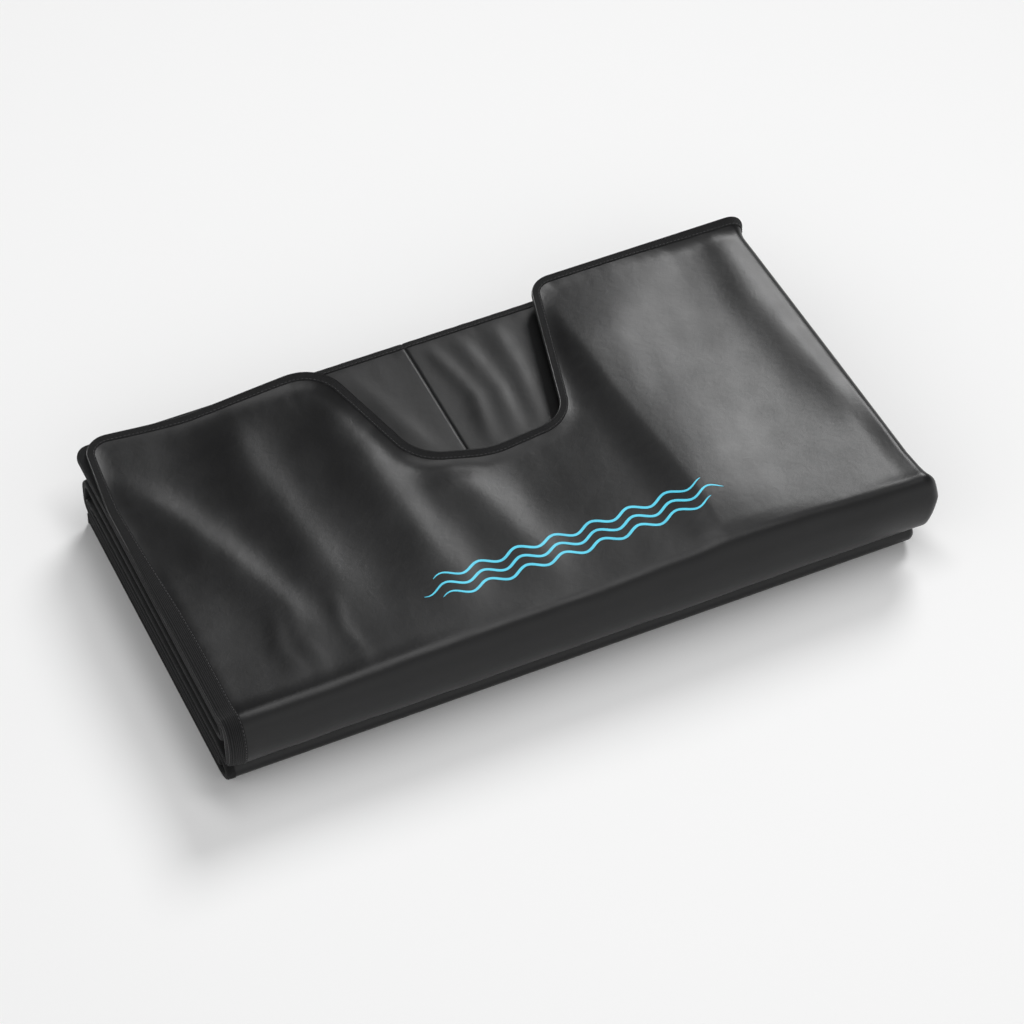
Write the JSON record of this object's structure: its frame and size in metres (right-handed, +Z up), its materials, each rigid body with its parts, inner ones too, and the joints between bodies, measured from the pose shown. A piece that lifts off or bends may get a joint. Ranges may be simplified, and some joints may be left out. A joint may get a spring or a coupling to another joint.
{
  "type": "infrared sauna blanket",
  "caption": "Padded two-layer heating blanket in black coated leather, folded into a flat stack, with a neck notch bound in woven tape at its head edge.",
  "frame": {"origin": "on the floor, under the middle of the folded stack's bounding box", "axes": "+X across the blanket towards its closed side, +Y to the head edge with the neck notch, +Z up; the front folds face -Y"},
  "size_m": [0.9, 0.512, 0.1211],
  "materials": {
    "outer_leather": "satin black coated leather with a fine grain",
    "insulation_pad": "grey bonded fibre padding",
    "heater_sheet": "dark non-woven sheet that carries carbon heating lines",
    "inner_lining": "smooth charcoal waterproof lining, low sheen",
    "binding_tape": "black woven edge tape, matt, sewn near its inner edge",
    "closure_tape": "black hook-and-loop tape",
    "moulded_plastic": "matt black moulded plastic",
    "contact_metal": "plated contact metal"
  },
  "bodies": {
    "foot_panel": {"foot_base_heater": "heater_sheet", "foot_base_lining": "inner_lining", "foot_base_pad": "insulation_pad", "foot_base_shell": "outer_leather", "foot_binding": "binding_tape", "foot_closed_side": "outer_leather", "foot_cover_heater": "heater_sheet", "foot_cover_lining": "inner_lining", "foot_cover_pad": "insulation_pad", "foot_cover_shell": "outer_leather", "foot_hook_tape": "closure_tape", "foot_loop_tape": "closure_tape", "inlet_housing": "moulded_plastic", "inlet_pin_left": "contact_metal", "inlet_pin_right": "contact_metal"},
    "lower_front_fold": {"lower_fold_inner_pad": "insulation_pad", "lower_fold_outer_pad": "insulation_pad", "lower_fold_shell": "outer_leather"},
    "knee_panel": {"knee_base_heater": "heater_sheet", "knee_base_lining": "inner_lining", "knee_base_pad": "insulation_pad", "knee_base_shell": "outer_leather", "knee_closed_side": "outer_leather", "knee_cover_heater": "heater_sheet", "knee_cover_lining": "inner_lining", "knee_cover_pad": "insulation_pad", "knee_cover_shell": "outer_leather", "knee_hook_tape": "closure_tape", "knee_loop_tape": "closure_tape"},
    "back_fold": {"back_fold_inner_pad": "insulation_pad", "back_fold_outer_pad": "insulation_pad", "back_fold_shell": "outer_leather"},
    "hip_panel": {"hip_base_heater": "heater_sheet", "hip_base_lining": "inner_lining", "hip_base_pad": "insulation_pad", "hip_base_shell": "outer_leather", "hip_closed_side": "outer_leather", "hip_cover_heater": "heater_sheet", "hip_cover_lining": "inner_lining", "hip_cover_pad": "insulation_pad", "hip_cover_shell": "outer_leather", "hip_hook_tape": "closure_tape", "hip_loop_tape": "closure_tape", "over_temperature_cutout": "moulded_plastic"},
    "upper_front_fold": {"upper_fold_inner_pad": "insulation_pad", "upper_fold_outer_pad": "insulation_pad", "upper_fold_shell": "outer_leather"},
    "shoulder_panel": {"shoulder_base_binding": "binding_tape", "shoulder_base_heater": "heater_sheet", "shoulder_base_lining": "inner_lining", "shoulder_base_pad": "insulation_pad", "shoulder_base_shell": "outer_leather", "shoulder_closed_side": "outer_leather", "shoulder_cover_binding": "binding_tape", "shoulder_cover_heater": "heater_sheet", "shoulder_cover_lining": "inner_lining", "shoulder_cover_pad": "insulation_pad", "shoulder_cover_shell": "outer_leather", "shoulder_hook_tape": "closure_tape", "shoulder_loop_tape": "closure_tape"}
  },
  "joints": [
    {"name": "lower_fold_floor_hinge", "type": "hinge", "parent": "foot_panel", "child": "lower_front_fold", "pos_m": [0, -0.227, 0], "axis": [1, 0, 0], "range_deg": [0, 90]},
    {"name": "lower_fold_top_hinge", "type": "hinge", "parent": "lower_front_fold", "child": "knee_panel", "pos_m": [0, -0.227, 0.036], "axis": [1, 0, 0], "range_deg": [0, 90]},
    {"name": "back_fold_low_hinge", "type": "hinge", "parent": "knee_panel", "child": "back_fold", "pos_m": [0, 0.226, 0.0185], "axis": [-1, 0, 0], "range_deg": [0, 90]},
    {"name": "back_fold_high_hinge", "type": "hinge", "parent": "back_fold", "child": "hip_panel", "pos_m": [0, 0.226, 0.0545], "axis": [-1, 0, 0], "range_deg": [0, 90]},
    {"name": "upper_fold_low_hinge", "type": "hinge", "parent": "hip_panel", "child": "upper_front_fold", "pos_m": [0, -0.256, 0.037], "axis": [1, 0, 0], "range_deg": [0, 90]},
    {"name": "upper_fold_top_hinge", "type": "hinge", "parent": "upper_front_fold", "child": "shoulder_panel", "pos_m": [0, -0.256, 0.12], "axis": [1, 0, 0], "range_deg": [0, 90]}
  ],
  "couplings": [
    {"joint": "lower_fold_top_hinge", "follows": "lower_fold_floor_hinge", "ratio": 1},
    {"joint": "back_fold_low_hinge", "follows": "lower_fold_floor_hinge", "ratio": 1},
    {"joint": "back_fold_high_hinge", "follows": "lower_fold_floor_hinge", "ratio": 1},
    {"joint": "upper_fold_top_hinge", "follows": "upper_fold_low_hinge", "ratio": 1}
  ]
}
